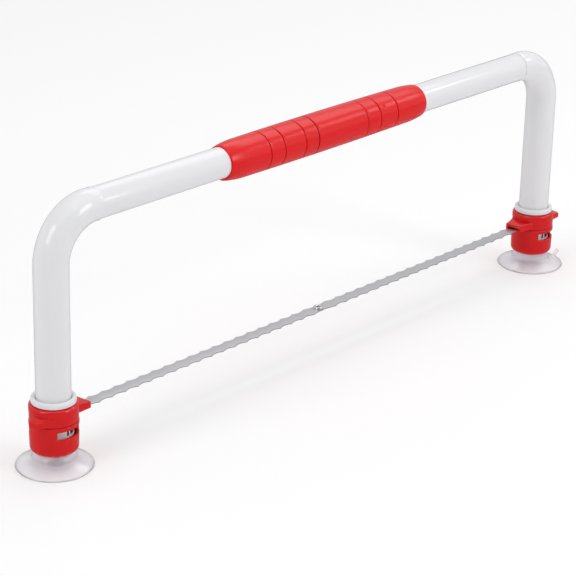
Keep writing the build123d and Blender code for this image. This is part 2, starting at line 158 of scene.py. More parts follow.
far_side.inputs["From Min"].default_value = -0.9
far_side.inputs["From Max"].default_value = -0.1
far_side.inputs["To Min"].default_value = 0.75
far_side.inputs["To Max"].default_value = 1.0
dimming = nodes.new("ShaderNodeMath")
dimming.operation = "MULTIPLY"
height.inputs["From Min"].default_value = 0.05
height.inputs["From Max"].default_value = 0.9
tone.inputs["Color1"].default_value = (0.80, 0.80, 0.815, 1)
tone.inputs["Color2"].default_value = (0.64, 0.64, 0.652, 1)
seen.inputs["Color"].default_value = (1, 1, 1, 1)
links.new(place.outputs["Generated"], split.inputs[0])
links.new(split.outputs["Z"], height.inputs["Value"])
links.new(height.outputs["Result"], tone.inputs["Fac"])
links.new(tone.outputs["Color"], lit.inputs["Color"])
links.new(place.outputs["Generated"], facing.inputs[0])
links.new(facing.outputs["Value"], behind_camera.inputs["Value"])
links.new(facing.outputs["Value"], far_side.inputs["Value"])
links.new(behind_camera.outputs["Result"], dimming.inputs[0])
links.new(far_side.outputs["Result"], dimming.inputs[1])
links.new(dimming.outputs[0], lit.inputs["Strength"])
links.new(path.outputs["Is Camera Ray"], seen_by.inputs[0])
links.new(path.outputs["Is Transmission Ray"], seen_by.inputs[1])
links.new(seen_by.outputs[0], shown.inputs["Fac"])
links.new(lit.outputs[0], shown.inputs[1])
links.new(seen.outputs[0], shown.inputs[2])
links.new(shown.outputs[0], out.inputs["Surface"])

# %% [markdown]
# ## The worktop
# The object stands on white paper, which sends its full white on to the undersides. Seen by the camera
# and through clear pieces, the paper is toned down and a little extra white is added by as much, so
# that the soft shadows stay, only lighter. Mirrors see the paper darker than it is, as the polished red
# in the picture does, which would otherwise turn pink where it mirrors the floor.

# %% Floor
floor_bm = bmesh.new()
bmesh.ops.create_grid(floor_bm, x_segments=1, y_segments=1, size=12)
floor_mesh = bpy.data.meshes.new("paper_floor")
floor_bm.to_mesh(floor_mesh)
floor_bm.free()
floor = bpy.data.objects.new("paper_floor", floor_mesh)
scene.collection.objects.link(floor)
paper = bpy.data.materials.new("white_paper")
paper.use_nodes = True
nodes = paper.node_tree.nodes
links = paper.node_tree.links
nodes.clear()
out = nodes.new("ShaderNodeOutputMaterial")
both = nodes.new("ShaderNodeAddShader")
matte = nodes.new("ShaderNodeBsdfDiffuse")
glow = nodes.new("ShaderNodeEmission")
path = nodes.new("ShaderNodeLightPath")
seen_paper = nodes.new("ShaderNodeMath")
seen_paper.operation = "MAXIMUM"
extra_white = nodes.new("ShaderNodeMath")
extra_white.operation = "MULTIPLY"
extra_white.inputs[1].default_value = 0.335
bounce = nodes.new("ShaderNodeMixRGB")
bounce.inputs["Color1"].default_value = (0.67, 0.67, 0.67, 1)
bounce.inputs["Color2"].default_value = (0.98, 0.98, 0.98, 1)
tone = nodes.new("ShaderNodeMixRGB")
tone.inputs["Color2"].default_value = (0.36, 0.36, 0.36, 1)
mirrored = nodes.new("ShaderNodeMath")
mirrored.operation = "SUBTRACT"
mirrored.use_clamp = True
links.new(path.outputs["Is Glossy Ray"], mirrored.inputs[0])
links.new(path.outputs["Is Transmission Ray"], mirrored.inputs[1])
links.new(mirrored.outputs[0], tone.inputs["Fac"])
links.new(tone.outputs["Color"], matte.inputs["Color"])
links.new(path.outputs["Is Diffuse Ray"], bounce.inputs["Fac"])
links.new(bounce.outputs["Color"], tone.inputs["Color1"])
links.new(path.outputs["Is Camera Ray"], seen_paper.inputs[0])
links.new(path.outputs["Is Transmission Ray"], seen_paper.inputs[1])
links.new(seen_paper.outputs[0], extra_white.inputs[0])
links.new(extra_white.outputs[0], glow.inputs["Strength"])
links.new(matte.outputs[0], both.inputs[0])
links.new(glow.outputs[0], both.inputs[1])
links.new(both.outputs[0], out.inputs["Surface"])
floor_mesh.materials.append(paper)

# %% [markdown]
# ## Finishes
# Each finish is one Principled shader with noise in the object's own coordinates, so that a pattern
# stays on the piece wherever the piece goes. Moulded plastic is never quite even: its colour drifts a
# little, its gloss changes with handling, and its skin has fine waves. One helper makes these three
# from the same few numbers, and each finish then adds what is special to it.

# %% A helper for finishes
def new_finish(name, colour, second_colour, roughness, rough_spread, grain_size, grain_depth):
    """A shader with drifting colour, uneven gloss and a fine skin. Sizes are in mm."""
    finish = bpy.data.materials.new(name)
    finish.use_nodes = True
    tree = finish.node_tree
    skin = tree.nodes["Principled BSDF"]
    where = tree.nodes.new("ShaderNodeTexCoord")
    drift = tree.nodes.new("ShaderNodeTexNoise")
    drift.inputs["Scale"].default_value = 30
    drift.inputs["Detail"].default_value = 1
    tint = tree.nodes.new("ShaderNodeMixRGB")
    tint.name = "tint"
    tint.inputs["Color1"].default_value = (*colour, 1)
    tint.inputs["Color2"].default_value = (*second_colour, 1)
    handling = tree.nodes.new("ShaderNodeTexNoise")
    handling.inputs["Scale"].default_value = 90
    handling.inputs["Detail"].default_value = 2
    gloss = tree.nodes.new("ShaderNodeMapRange")
    gloss.inputs["To Min"].default_value = roughness - rough_spread
    gloss.inputs["To Max"].default_value = roughness + rough_spread
    grain = tree.nodes.new("ShaderNodeTexNoise")
    grain.inputs["Scale"].default_value = 1 / (grain_size * MM)
    grain.inputs["Detail"].default_value = 2
    relief = tree.nodes.new("ShaderNodeBump")
    relief.inputs["Strength"].default_value = 1
    relief.inputs["Distance"].default_value = grain_depth * MM
    for texture in (drift, handling, grain):
        tree.links.new(where.outputs["Object"], texture.inputs["Vector"])
    tree.links.new(drift.outputs["Fac"], tint.inputs["Fac"])
    tree.links.new(tint.outputs["Color"], skin.inputs["Base Color"])
    tree.links.new(handling.outputs["Fac"], gloss.inputs["Value"])
    tree.links.new(gloss.outputs["Result"], skin.inputs["Roughness"])
    tree.links.new(grain.outputs["Fac"], relief.inputs["Height"])
    tree.links.new(relief.outputs["Normal"], skin.inputs["Normal"])
    return finish, skin


# %% [markdown]
# The tube is glossy white plastic with a cool cast. Its skin has very shallow long waves, which bend
# the edges of the streaks a little.

# %% White tube
white_tube, skin = new_finish(
    "glossy_white_tube", (0.845, 0.845, 0.857), (0.865, 0.865, 0.876), 0.11, 0.02, 4.0, 0.010
)
skin.inputs["Specular IOR Level"].default_value = 0.4
skin.inputs["Coat Weight"].default_value = 0.15
skin.inputs["Coat Roughness"].default_value = 0.08

# %% [markdown]
# The sleeve with the lip is the same white, but satin, and soft enough to let a little light in.

# %% White collet
white_collet, skin = new_finish(
    "satin_white_collet", (0.80, 0.80, 0.82), (0.83, 0.83, 0.845), 0.32, 0.06, 1.2, 0.01
)
skin.inputs["Subsurface Weight"].default_value = 0.15
skin.inputs["Subsurface Scale"].default_value = 0.002
skin.inputs["Subsurface Radius"].default_value = (1, 1, 1)

# %% [markdown]
# Hardly any light gets back out of the slits and gaps between the sleeve's fingers, and what does has
# gone off the red cup. Their inside is painted with shade: a dark red that stands in for that lost light.

# %% Slit shade
slit_shade, skin = new_finish(
    "painted_slit_shade", (0.040, 0.006, 0.008), (0.060, 0.008, 0.010), 0.7, 0.05, 0.6, 0.01
)
skin.inputs["Specular IOR Level"].default_value = 0.1

# %% [markdown]
# Pieces that no one sees in use, the plugs and dowels, are plain off-white plastic from the mould.

# %% Plain inner plastic
inner_plastic, skin = new_finish(
    "plain_inner_plastic", (0.60, 0.60, 0.60), (0.66, 0.66, 0.65), 0.5, 0.08, 0.6, 0.02
)

# %% [markdown]
# The collars are hard glossy red plastic. The colour is deep, so most of what lights up on them is
# the gloss of the skin.

# %% Red collar
red_collar, skin = new_finish(
    "glossy_red_collar", (0.70, 0.003, 0.005), (0.725, 0.005, 0.007), 0.10, 0.02, 3.0, 0.004
)
skin.inputs["Specular IOR Level"].default_value = 0.52

# %% [markdown]
# The grip is a softer red sleeve: satin, with a fine grain.

# %% Red grip
red_grip, skin = new_finish(
    "soft_red_grip", (0.78, 0.003, 0.005), (0.81, 0.005, 0.007), 0.25, 0.03, 1.2, 0.010
)
skin.inputs["Specular IOR Level"].default_value = 0.38

# %% [markdown]
# The floors of the grip's grooves are too narrow for light to get out of, so they are painted with
# shade: a darker red that stands in for that lost light.

# %% Groove shade
groove_shade, skin = new_finish(
    "painted_groove_shade", (0.24, 0.002, 0.003), (0.28, 0.003, 0.004), 0.5, 0.05, 0.6, 0.01
)
skin.inputs["Specular IOR Level"].default_value = 0.1

# %% [markdown]
# The suction cups are clear soft plastic, almost colourless in the thin flare. Towards the stem they
# are painted darker and warmer: partly the thicker body, partly painted shade under the red clamp cup.
# The polished skin mirrors the lamps, which draws the white patches.

# %% Clear cup
clear_cup, skin = new_finish(
    "clear_soft_cup", (0.975, 0.96, 0.985), (0.985, 0.975, 0.99), 0.35, 0.03, 2.0, 0.006
)
tree = clear_cup.node_tree
where = tree.nodes.new("ShaderNodeTexCoord")
split = tree.nodes.new("ShaderNodeSeparateXYZ")
# Painted shade, partly the thicker body: the colour darkens between 3.0 and 5.2 mm up, towards the stem.
depth = tree.nodes.new("ShaderNodeMapRange")
thick_body_and_shade_tone = tree.nodes.new("ShaderNodeMixRGB")
depth.inputs["From Min"].default_value = 3.0 * MM
depth.inputs["From Max"].default_value = 5.2 * MM
thick_body_and_shade_tone.inputs["Color2"].default_value = (0.72, 0.66, 0.72, 1)
tree.links.new(where.outputs["Object"], split.inputs[0])
tree.links.new(split.outputs["Z"], depth.inputs["Value"])
tree.links.new(depth.outputs["Result"], thick_body_and_shade_tone.inputs["Fac"])
tree.links.new(tree.nodes["tint"].outputs["Color"], thick_body_and_shade_tone.inputs["Color1"])
tree.links.new(thick_body_and_shade_tone.outputs["Color"], skin.inputs["Base Color"])
skin.inputs["Transmission Weight"].default_value = 0.82
skin.inputs["IOR"].default_value = 1.2
skin.inputs["Coat Weight"].default_value = 1.0
skin.inputs["Coat Roughness"].default_value = 0.06
skin.inputs["Coat IOR"].default_value = 1.7

# %% [markdown]
# The blade is a strip of rolled steel, satin, with fine lines along its length.

# %% Blade steel
blade_steel, skin = new_finish(
    "satin_blade_steel", (0.64, 0.635, 0.65), (0.70, 0.695, 0.705), 0.33, 0.05, 0.2, 0.006
)
skin.inputs["Metallic"].default_value = 1.0

# %% [markdown]
# The rivet is plated bright, and the pins are plain drawn steel that no one polishes.

# %% Rivet and pins
rivet_metal, skin = new_finish(
    "bright_rivet", (0.75, 0.75, 0.76), (0.80, 0.80, 0.80), 0.18, 0.05, 0.4, 0.01
)
skin.inputs["Metallic"].default_value = 1.0
pin_steel, skin = new_finish(
    "plain_pin_steel", (0.55, 0.55, 0.56), (0.60, 0.60, 0.60), 0.35, 0.05, 0.3, 0.01
)
skin.inputs["Metallic"].default_value = 1.0

# %% [markdown]
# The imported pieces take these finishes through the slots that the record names.

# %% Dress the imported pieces
finishes = {
    "white_tube": white_tube,
    "white_collet": white_collet,
    "inner_plastic": inner_plastic,
    "red_grip": red_grip,
    "red_collar": red_collar,
    "clear_cup": clear_cup,
    "blade_steel": blade_steel,
    "rivet_metal": rivet_metal,
    "pin_steel": pin_steel,
}
for part in frame["record"]["subparts"]:
    node = frame["nodes"][part["node"]]
    if not node.material_slots:
        node.data.materials.append(None)
    for slot in node.material_slots:
        slot.link = "OBJECT"
        slot.material = finishes[part["material_slot"]]

# %% [markdown]
# ## Turned pieces
# Most pieces are round, so one helper turns a section about an upright axis. The section is a thin
# line of corners, its corners are rounded with the vertex bevel while it is still a line, and a spin
# makes the skin. Rounding the finished edges would also work, but a bevel on a line is much faster
# and never pinches. All shaping is done in millimetres, and each piece is scaled once at the end.

# %% A helper that turns a section
def turned_piece(corners, steps=96, closed=True):
    """Spins (radius, height, rounding) corners about the Z axis. An open line starts and ends on it."""
    bm = bmesh.new()
    line = [bm.verts.new((radius, 0, height)) for radius, height, rounding in corners]
    pairs = list(zip(line, line[1:]))
    if closed:
        pairs.append((line[-1], line[0]))
    for first, second in pairs:
        bm.edges.new((first, second))
    for vert, (radius, height, rounding) in zip(line, corners):
        if rounding:
            bmesh.ops.bevel(
                bm,
                geom=[vert],
                offset=rounding,
                offset_type="OFFSET",
                segments=5,
                profile=0.5,
                affect="VERTICES",
                clamp_overlap=True,
                material=-1,
            )
    bmesh.ops.spin(
        bm,
        geom=bm.verts[:] + bm.edges[:],
        cent=(0, 0, 0),
        axis=(0, 0, 1),
        dvec=(0, 0, 0),
        angle=2 * pi,
        steps=steps,
        use_merge=True,
    )
    bmesh.ops.remove_doubles(bm, verts=bm.verts, dist=0.0001)
    bmesh.ops.recalc_face_normals(bm, faces=bm.faces)
    return bm


# %% [markdown]
# Shoulders, scallops and flanks are circle arcs through three measured points. Three points are what a
# picture gives, so the helper takes those rather than a centre and a radius.

# %% A helper for arcs in a section
def arc(start, middle, end, steps):
    """Points on the circle from start through middle to end, as (across, up) pairs."""
    (ax, ay), (bx, by), (cx, cy) = start, middle, end
    twist = 2 * (ax * (by - cy) + bx * (cy - ay) + cx * (ay - by))
    a2, b2, c2 = ax * ax + ay * ay, bx * bx + by * by, cx * cx + cy * cy
    ux = (a2 * (by - cy) + b2 * (cy - ay) + c2 * (ay - by)) / twist
    uy = (a2 * (cx - bx) + b2 * (ax - cx) + c2 * (bx - ax)) / twist
    radius = sqrt((ax - ux) ** 2 + (ay - uy) ** 2)
    first = atan2(ay - uy, ax - ux)
    sweep = atan2(cy - uy, cx - ux) - first
    if twist > 0:
        sweep = sweep % (2 * pi)
    else:
        sweep = -(-sweep % (2 * pi))
    angles = [first + sweep * step / steps for step in range(steps + 1)]
    return [(ux + radius * cos(angle), uy + radius * sin(angle)) for angle in angles]


# %% [markdown]
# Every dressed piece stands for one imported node: it rides on the same body and takes its slot. Smooth
# shading with sharp edges by angle keeps the rounds soft and the corners crisp.

# %% A helper that hands a piece over
def hand_over(bm, name, body, node, slot, sharp_angle=38):
    """Makes the object from a bmesh, smooth except at sharp edges, and lets it stand for a CAD node."""
    bmesh.ops.scale(bm, verts=bm.verts, vec=(MM, MM, MM))
    mesh = bpy.data.meshes.new(name)
    bm.to_mesh(mesh)
    bm.free()
    mesh.shade_smooth()
    mesh.set_sharp_from_angle(angle=radians(sharp_angle))
    mesh.materials.append(finishes[slot])
    piece = bpy.data.objects.new(name, mesh)
    scene.collection.objects.link(piece)
    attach(piece, body)
    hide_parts(node)
    print(name, "faces", len(mesh.polygons))
    return piece


# %% [markdown]
# Windows, slots and wings join a round piece at odd angles. A Boolean modifier does that cleanly on
# closed shapes, so this helper adds or cuts one shape after another and gives back a plain mesh.

# %% A helper that joins and cuts
def joined(bm, steps):
    """Applies (operation, tool) steps to a bmesh, each with a Boolean modifier."""
    parts = []
    for index, shape in enumerate([bm] + [tool for operation, tool in steps]):
        mesh = bpy.data.meshes.new("shape_%d" % index)
        shape.to_mesh(mesh)
        shape.free()
        parts.append(bpy.data.objects.new("shape_%d" % index, mesh))
        scene.collection.objects.link(parts[-1])
    for part, (operation, tool) in zip(parts[1:], steps):
        change = parts[0].modifiers.new(operation, "BOOLEAN")
        change.operation = operation
        change.solver = "EXACT"
        change.object = part
    graph = bpy.context.evaluated_depsgraph_get()
    mesh = bpy.data.meshes.new_from_object(parts[0].evaluated_get(graph))
    result = bmesh.new()
    result.from_mesh(mesh)
    bmesh.ops.remove_doubles(result, verts=result.verts, dist=0.0005)
    bmesh.ops.dissolve_degenerate(result, edges=result.edges, dist=0.0005)
    bpy.data.meshes.remove(mesh)
    for part in parts:
        bpy.data.meshes.remove(part.data)
    return result


# %% [markdown]
# ## The tube frame
# The frame is a white tube in three lengths: a leg with its bend on each side, and the bar between
# them. A curve with a round bevel would give the same skin. Here the leg starts as a circle on its
# lower end, is pulled up, and the top ring is spun a quarter turn about the middle of the bend, so
# that every ring stays true to the real radius. The last part of the bend narrows a little towards
# the seam.

# %% Sizes of the frame
half_spacing = 168.0
leg_radius = 7.65
leg_wall = 1.8
leg_bottom = 9.2
bar_height = 113.2
bend_radius = 21.8
bend_start = bar_height - bend_radius
bend_tail = 2.1
seam_radius = 7.35
taper_start = radians(62)
bar_radius = 7.05
bar_bore = 5.75
bar_half_length = half_spacing - bend_radius - bend_tail


# %% [markdown]
# Two small helpers serve the tube and the pieces after it. One pulls a line of edges along. The other
# rounds edges, as no moulded or cut edge is knife-sharp.

# %% Helpers that pull and round edges
def pulled(bm, edges, way):
    """Extrudes edges by a vector and returns the far edges."""
    grown = bmesh.ops.extrude_edge_only(bm, edges=edges)["geom"]
    far = [item for item in grown if isinstance(item, bmesh.types.BMVert)]
    bmesh.ops.translate(bm, verts=far, vec=way)
    return [item for item in grown if isinstance(item, bmesh.types.BMEdge) and item.is_boundary]


def round_edges(bm, edges, offset, segments=3):
    """Rounds the given edges by an offset."""
    bmesh.ops.bevel(
        bm,
        geom=edges,
        offset=offset,
        offset_type="OFFSET",
        segments=segments,
        profile=0.5,
        affect="EDGES",
        material=-1,
    )


# %% [markdown]
# The wall of the leg comes from Solidify, so that its open lower end shows a real thickness.

# %% Legs
def leg_tube():
    """The left leg with its bend, as a hollow tube."""
    bm = bmesh.new()
    bmesh.ops.create_circle(bm, segments=72, radius=leg_radius)
    bmesh.ops.translate(bm, verts=bm.verts, vec=(-half_spacing, 0, leg_bottom))
    top = pulled(bm, bm.edges[:], (0, 0, bend_start - leg_bottom))
    middle = Vector((bend_radius - half_spacing, 0, bend_start))
    ring = list({vert for edge in top for vert in edge.verts})
    spun = bmesh.ops.spin(
        bm, geom=ring + top, cent=middle, axis=(0, 1, 0), dvec=(0, 0, 0), angle=pi / 2, steps=36
    )
    last = [item for item in spun["geom_last"] if isinstance(item, bmesh.types.BMEdge)]
    pulled(bm, last, (bend_tail, 0, 0))
    for vert in bm.verts:
        turn = pi / 2 if vert.co.x > middle.x - 0.01 else atan2(vert.co.z - middle.z, middle.x - vert.co.x)
        if turn > taper_start:
            share = (turn - taper_start) / (pi / 2 - taper_start)
            along = max(vert.co.x, middle.x) if turn == pi / 2 else middle.x - bend_radius * cos(turn)
            centre = Vector((along, 0, middle.z + bend_radius * sin(turn)))
            slim = 1 - (1 - seam_radius / leg_radius) * share**2
            vert.co = centre + (vert.co - centre) * slim
    bmesh.ops.recalc_face_normals(bm, faces=bm.faces)
    bmesh.ops.solidify(bm, geom=bm.faces[:], thickness=leg_wall)
    rim = [edge for edge in bm.edges if edge.calc_face_angle(0) > radians(60)]
    round_edges(bm, rim, 0.14)
    return bm


leg = leg_tube()
print("leg reaches", [round(min(v.co[axis] for v in leg.verts), 2) for axis in range(3)])
right_leg = leg.copy()
bmesh.ops.scale(right_leg, verts=right_leg.verts, vec=(-1, 1, 1))
bmesh.ops.reverse_faces(right_leg, faces=right_leg.faces)
hand_over(leg, "left_leg_tube", "frame", "left_leg", "white_tube")
hand_over(right_leg, "right_leg_tube", "frame", "right_leg", "white_tube")

# %% [markdown]
# The bar is a little thinner than the bends it joins, so each seam shows as a fine step. It is turned
# upright and laid down.

# %% Bar
bar = turned_piece(
    [
        (bar_bore, -bar_half_length, 0),
        (bar_radius, -bar_half_length, 0.12),
        (bar_radius, bar_half_length, 0.12),
        (bar_bore, bar_half_length, 0),
    ],
    steps=72,
)
lying = Matrix.Rotation(radians(90), 3, "Y")
bmesh.ops.rotate(bar, verts=bar.verts, cent=(0, 0, 0), matrix=lying)
bmesh.ops.translate(bar, verts=bar.verts, vec=(0, 0, bar_height))
hand_over(bar, "bar_tube", "frame", "top_bar", "white_tube")

# %% [markdown]
# ## The grip
# The grip is a soft sleeve with a long shallow crown and two tapered ends. Thin grooves run round it
# in pairs, as a maker's mould leaves them. The section is one line along the sleeve: the crown gives
# the radius at each place, and every groove dips it between two soft lips. It is turned upright and
# then laid on the bar. The outside hangs a little lower than the bar, so the sleeve is thicker below.
# Use has left a few small nicks. Near them the section gets more corners, and the ones that lie in a
# nick are pressed in.

# %% Grip
sleeve_left, sleeve_right = -69.0, 64.3
shoulder_left, shoulder_right = -58.0, 53.0
left_shoulder_radius, right_shoulder_radius = 9.05, 8.8
left_end_drop, right_end_drop = 1.15, 0.9
crown_swell = 1.3
sleeve_end_radius = 7.9
sleeve_bore = 7.1
sleeve_drop = 0.35
grooves = (-45.1, -36.0, -22.3, -13.6, 20.6, 29.8, 42.1)
faint_groove = 20.6
groove_half_width = 0.32
groove_lip = 0.3
groove_depth, faint_groove_depth = 0.55, 0.3
nicks = ((33.4, 38, 1.9, 0.45), (-44.4, 32, 0.8, 0.5), (-13.2, 40, 0.9, 0.4))
nick_depth = 0.35


def sleeve_radius(place):
    """The crown's radius at a place along the bar."""
    if place < shoulder_left:
        drop = left_end_drop * ((shoulder_left - place) / (shoulder_left - sleeve_left)) ** 2
        return left_shoulder_radius - drop
    if place > shoulder_right:
        drop = right_end_drop * ((place - shoulder_right) / (sleeve_right - shoulder_right)) ** 2
        return right_shoulder_radius - drop
    share = (place - shoulder_left) / (shoulder_right - shoulder_left)
    straight = left_shoulder_radius - (left_shoulder_radius - right_shoulder_radius) * share
    return straight + crown_swell * share * (1 - share)


stations = []
place = sleeve_left
while place < sleeve_right:
    near_groove = min(abs(place - groove) for groove in grooves)
    if near_groove > 2 * groove_lip + groove_half_width:
        stations.append((sleeve_radius(place), place, 0))
    place += 1.5
stations.append((sleeve_end_radius, sleeve_right, 0.5))
for groove in grooves:
    depth = faint_groove_depth if groove == faint_groove else groove_depth
    radius = sleeve_radius(groove)
    stations.append((radius, groove - groove_half_width - groove_lip, 0))
    stations.append((radius - 0.05, groove - groove_half_width, 0))
    stations.append((radius - depth, groove - groove_half_width / 2, 0))
    stations.append((radius - depth, groove + groove_half_width / 2, 0))
    stations.append((radius - 0.05, groove + groove_half_width, 0))
    stations.append((radius, groove + groove_half_width + groove_lip, 0))
for place, turn, length, width in nicks:
    for step in range(-2, 3):
        beside = place + step * width / 2
        stations.append((sleeve_radius(beside), beside, 0))
stations.sort(key=lambda station: station[1])
stations[0] = (sleeve_end_radius, sleeve_left, 0.6)
stations.append((sleeve_bore, sleeve_right, 0.15))
stations.append((sleeve_bore, sleeve_left, 0.15))
sleeve = turned_piece(stations, steps=96)
for vert in sleeve.verts:
    radius = sqrt(vert.co.x**2 + vert.co.y**2)
    if radius > sleeve_bore + 0.2:
        for place, turn, length, width in nicks:
            aim = Vector((-sin(radians(turn)), -cos(radians(turn)), 0))
            across = (Vector((vert.co.x, vert.co.y, 0)) - radius * aim).length / length
            along = (vert.co.z - place) / width
            press = max(0, 1 - across**2 - along**2)
            vert.co -= Vector((vert.co.x, vert.co.y, 0)) / radius * nick_depth * press
        vert.co.x += sleeve_drop
# The groove floors take the second slot: a darker red painted as shade.
for face in sleeve.faces:
    middle = face.calc_center_median()
    radius = sqrt((middle.x - sleeve_drop) ** 2 + middle.y**2)
    on_floor = min(abs(middle.z - groove) for groove in grooves) < groove_half_width / 2
    if on_floor and radius > sleeve_bore + 0.5:
        face.material_index = 1
bmesh.ops.rotate(sleeve, verts=sleeve.verts, cent=(0, 0, 0), matrix=lying)
bmesh.ops.translate(sleeve, verts=sleeve.verts, vec=(0, 0, bar_height))
grip = hand_over(sleeve, "grip_sleeve", "frame", "grip", "red_grip", sharp_angle=60)
# The second slot is the painted shade of the groove floors.
grip.data.materials.append(groove_shade)

# %% [markdown]
# ## The suction cups
# Each clear cup flares from a round shoulder down to a thin rim and is hollow below, with a ring that
# seals on the worktop. Its section is one open line from the top of the stem to the middle of the
# hollow. A short strip, to lift the rim and let the air in, leaves one side and curves up. It starts
# as a flat grid that is bent, given a thickness and joined to the cup, so that light goes through one
# body and shows no wall between them.

# %% Suction cups
def suction_cup(tab_azimuth):
    """A flared cup with its stem and its lift tab, upright on Z = 0."""
    shoulder = arc((7.0, 7.7), (9.0, 6.7), (9.8, 4.7), 8)
    hollow_height, hollow_radius = 2.4, 15.55
    dome = (hollow_radius**2 + hollow_height**2) / (2 * hollow_height)
    hollow = [(r, hollow_height - dome + sqrt(dome**2 - r**2), 0) for r in (13, 10.5, 8, 5.5, 3, 0)]
    line = [
        (0, 14.5, 0),
        (3.2, 14.5, 0.9),
        (3.2, 11.9, 0.3),
        (2.3, 11.9, 0.2),
        (2.3, 7.7, 0.3),
    ]
    line += [(radius, height, 0) for radius, height in shoulder]
    line += [
        (10.0, 4.1, 0.8),
        (13.2, 2.8, 0),
        (16.55, 1.4, 0.4),
        (17.05, 0.9, 0.3),
        (17.05, 0.5, 0.3),
        (16.55, 0, 0.15),
        (hollow_radius, 0, 0.15),
    ]
    cup = turned_piece(line + hollow, steps=112, closed=False)
    tab_start, tab_reach, tab_half_width, tab_thickness = 15.6, 4.1, 1.3, 0.75
    tab = bmesh.new()
    bmesh.ops.create_grid(tab, x_segments=8, y_segments=4, size=1)
    for vert in tab.verts:
        share = (vert.co.x + 1) / 2
        width = tab_half_width if share < 0.8 else tab_half_width - 0.25 * (share - 0.8) / 0.2
        rise = tab_thickness + 2.7 * share**1.4
        vert.co = Vector((tab_start + tab_reach * share, vert.co.y * width, rise))
    bmesh.ops.recalc_face_normals(tab, faces=tab.faces)
    bmesh.ops.solidify(tab, geom=tab.faces[:], thickness=tab_thickness)
    rim = [edge for edge in tab.edges if edge.calc_face_angle(0) > radians(50)]
    round_edges(tab, rim, 0.25)
    turn = Matrix.Rotation(radians(tab_azimuth), 3, "Z")
    bmesh.ops.rotate(tab, verts=tab.verts, cent=(0, 0, 0), matrix=turn)
    return joined(cup, [("UNION", tab)])


for side, place, azimuth in (("left", -half_spacing, 49), ("right", half_spacing, -13)):
    cup = suction_cup(azimuth)
    bmesh.ops.translate(cup, verts=cup.verts, vec=(place, 0, 0))
    hand_over(cup, side + "_clear_cup", side + "_foot", side + "_suction_cup", "clear_cup", sharp_angle=55)

# %% [markdown]
# ## The collars
# A collar is three pieces round a leg. A white slotted sleeve lies against the leg. A red ring with
# two wings turns on it, and the blade ends in the inner wing. A red cup below, with two windows,
# squeezes the sleeve when it is turned. All three are turned sections, and the windows, wings and
# slots are joined to them or cut from them.

# %% [markdown]
# Windows and finger gaps are pieces of ring cut from a wall: a small rectangle spun through part of a
# turn, its two ends closed and, for a window, its corner edges rounded.

# %% A helper for ring sectors
def ring_sector(inner, outer, low, high, start, sweep, rounding):
    """A closed sector between two radii and two heights, from the azimuth start on."""
    sector = bmesh.new()
    corners = [(inner, low), (outer, low), (outer, high), (inner, high)]
    line = [sector.verts.new((radius, 0, height)) for radius, height in corners]
    for first, second in zip(line, line[1:] + line[:1]):
        sector.edges.new((first, second))
    bmesh.ops.spin(
        sector,
        geom=sector.verts[:] + sector.edges[:],
        cent=(0, 0, 0),
        axis=(0, 0, 1),
        dvec=(0, 0, 0),
        angle=radians(sweep),
        steps=24,
    )
    open_edges = [edge for edge in sector.edges if edge.is_boundary]
    ends = bmesh.ops.holes_fill(sector, edges=open_edges, sides=4)["faces"]
    if rounding:
        end_edges = [edge for face in ends for edge in face.edges]
        flat_edges = [edge for edge in end_edges if abs(edge.verts[0].co.z - edge.verts[1].co.z) < 0.01]
        round_edges(sector, flat_edges, rounding, segments=4)
    bmesh.ops.recalc_face_normals(sector, faces=sector.faces)
    turn = Matrix.Rotation(radians(start), 3, "Z")
    bmesh.ops.rotate(sector, verts=sector.verts, cent=(0, 0, 0), matrix=turn)
    return sector


# %% [markdown]
# The sleeve is the white piece that shows above the ring as a lip and behind the window as a strip. It
# is slit four times, so that its fingers can close on the leg, and two wide gaps lie between them.
# The fingers stand on a low ledge. The sleeve could be shown plain, but the window in the picture
# shows the slits as dark lines, so they are cut. They stop just short of the leg, and the thin floor left
# in them is painted dark red as shade.

# %% White sleeves
slit_azimuths = (0, 90, 180, 270)
slit_width = 1.15
slit_low, slit_high = 16.55, 25.75
slit_floor_radius = 7.85
finger_radius = 8.1
ledge_height = 16.45
finger_gap_start, finger_gap_sweep = -79, 60


def slotted_sleeve():
    """The sleeve with its lip, and its slits and finger gaps, which stop just short of the leg on a thin
    floor for painted shade.
    """
    sleeve = turned_piece(
        [
            (7.75, 13.9, 0),
            (8.55, 13.9, 0.3),
            (8.55, ledge_height, 0.2),
            (finger_radius, ledge_height, 0.1),
            (finger_radius, 30.5, 0),
            (9.8, 30.5, 0.25),
            (9.8, 33.0, 0.9),
            (8.3, 33.0, 0.25),
            (7.75, 32.35, 0.1),
        ]
    )
    cuts = []
    for azimuth in slit_azimuths:
        slit = bmesh.new()
        bmesh.ops.create_cube(slit, size=1)
        bmesh.ops.scale(slit, verts=slit.verts, vec=(2.0, slit_width, slit_high - slit_low))
        middle_height = (slit_low + slit_high) / 2
        bmesh.ops.translate(slit, verts=slit.verts, vec=(slit_floor_radius + 1.0, 0, middle_height))
        turn = Matrix.Rotation(radians(azimuth), 3, "Z")
        bmesh.ops.rotate(slit, verts=slit.verts, cent=(0, 0, 0), matrix=turn)
        cuts.append(("DIFFERENCE", slit))
    for start in (finger_gap_start, finger_gap_start + 180):
        gap = ring_sector(slit_floor_radius, 9.9, slit_low, slit_high, start, finger_gap_sweep, 0)
        cuts.append(("DIFFERENCE", gap))
    sleeve = joined(sleeve, cuts)
    # The floors of the slits and gaps take the second slot: painted shade, dark red, where the light is
    # lost.
    for face in sleeve.faces:
        middle = face.calc_center_median()
        radius = sqrt(middle.x**2 + middle.y**2)
        in_wall = slit_floor_radius - 0.08 < radius < finger_radius - 0.02
        if in_wall and ledge_height < middle.z < slit_high + 0.25:
            face.material_index = 1
    return sleeve


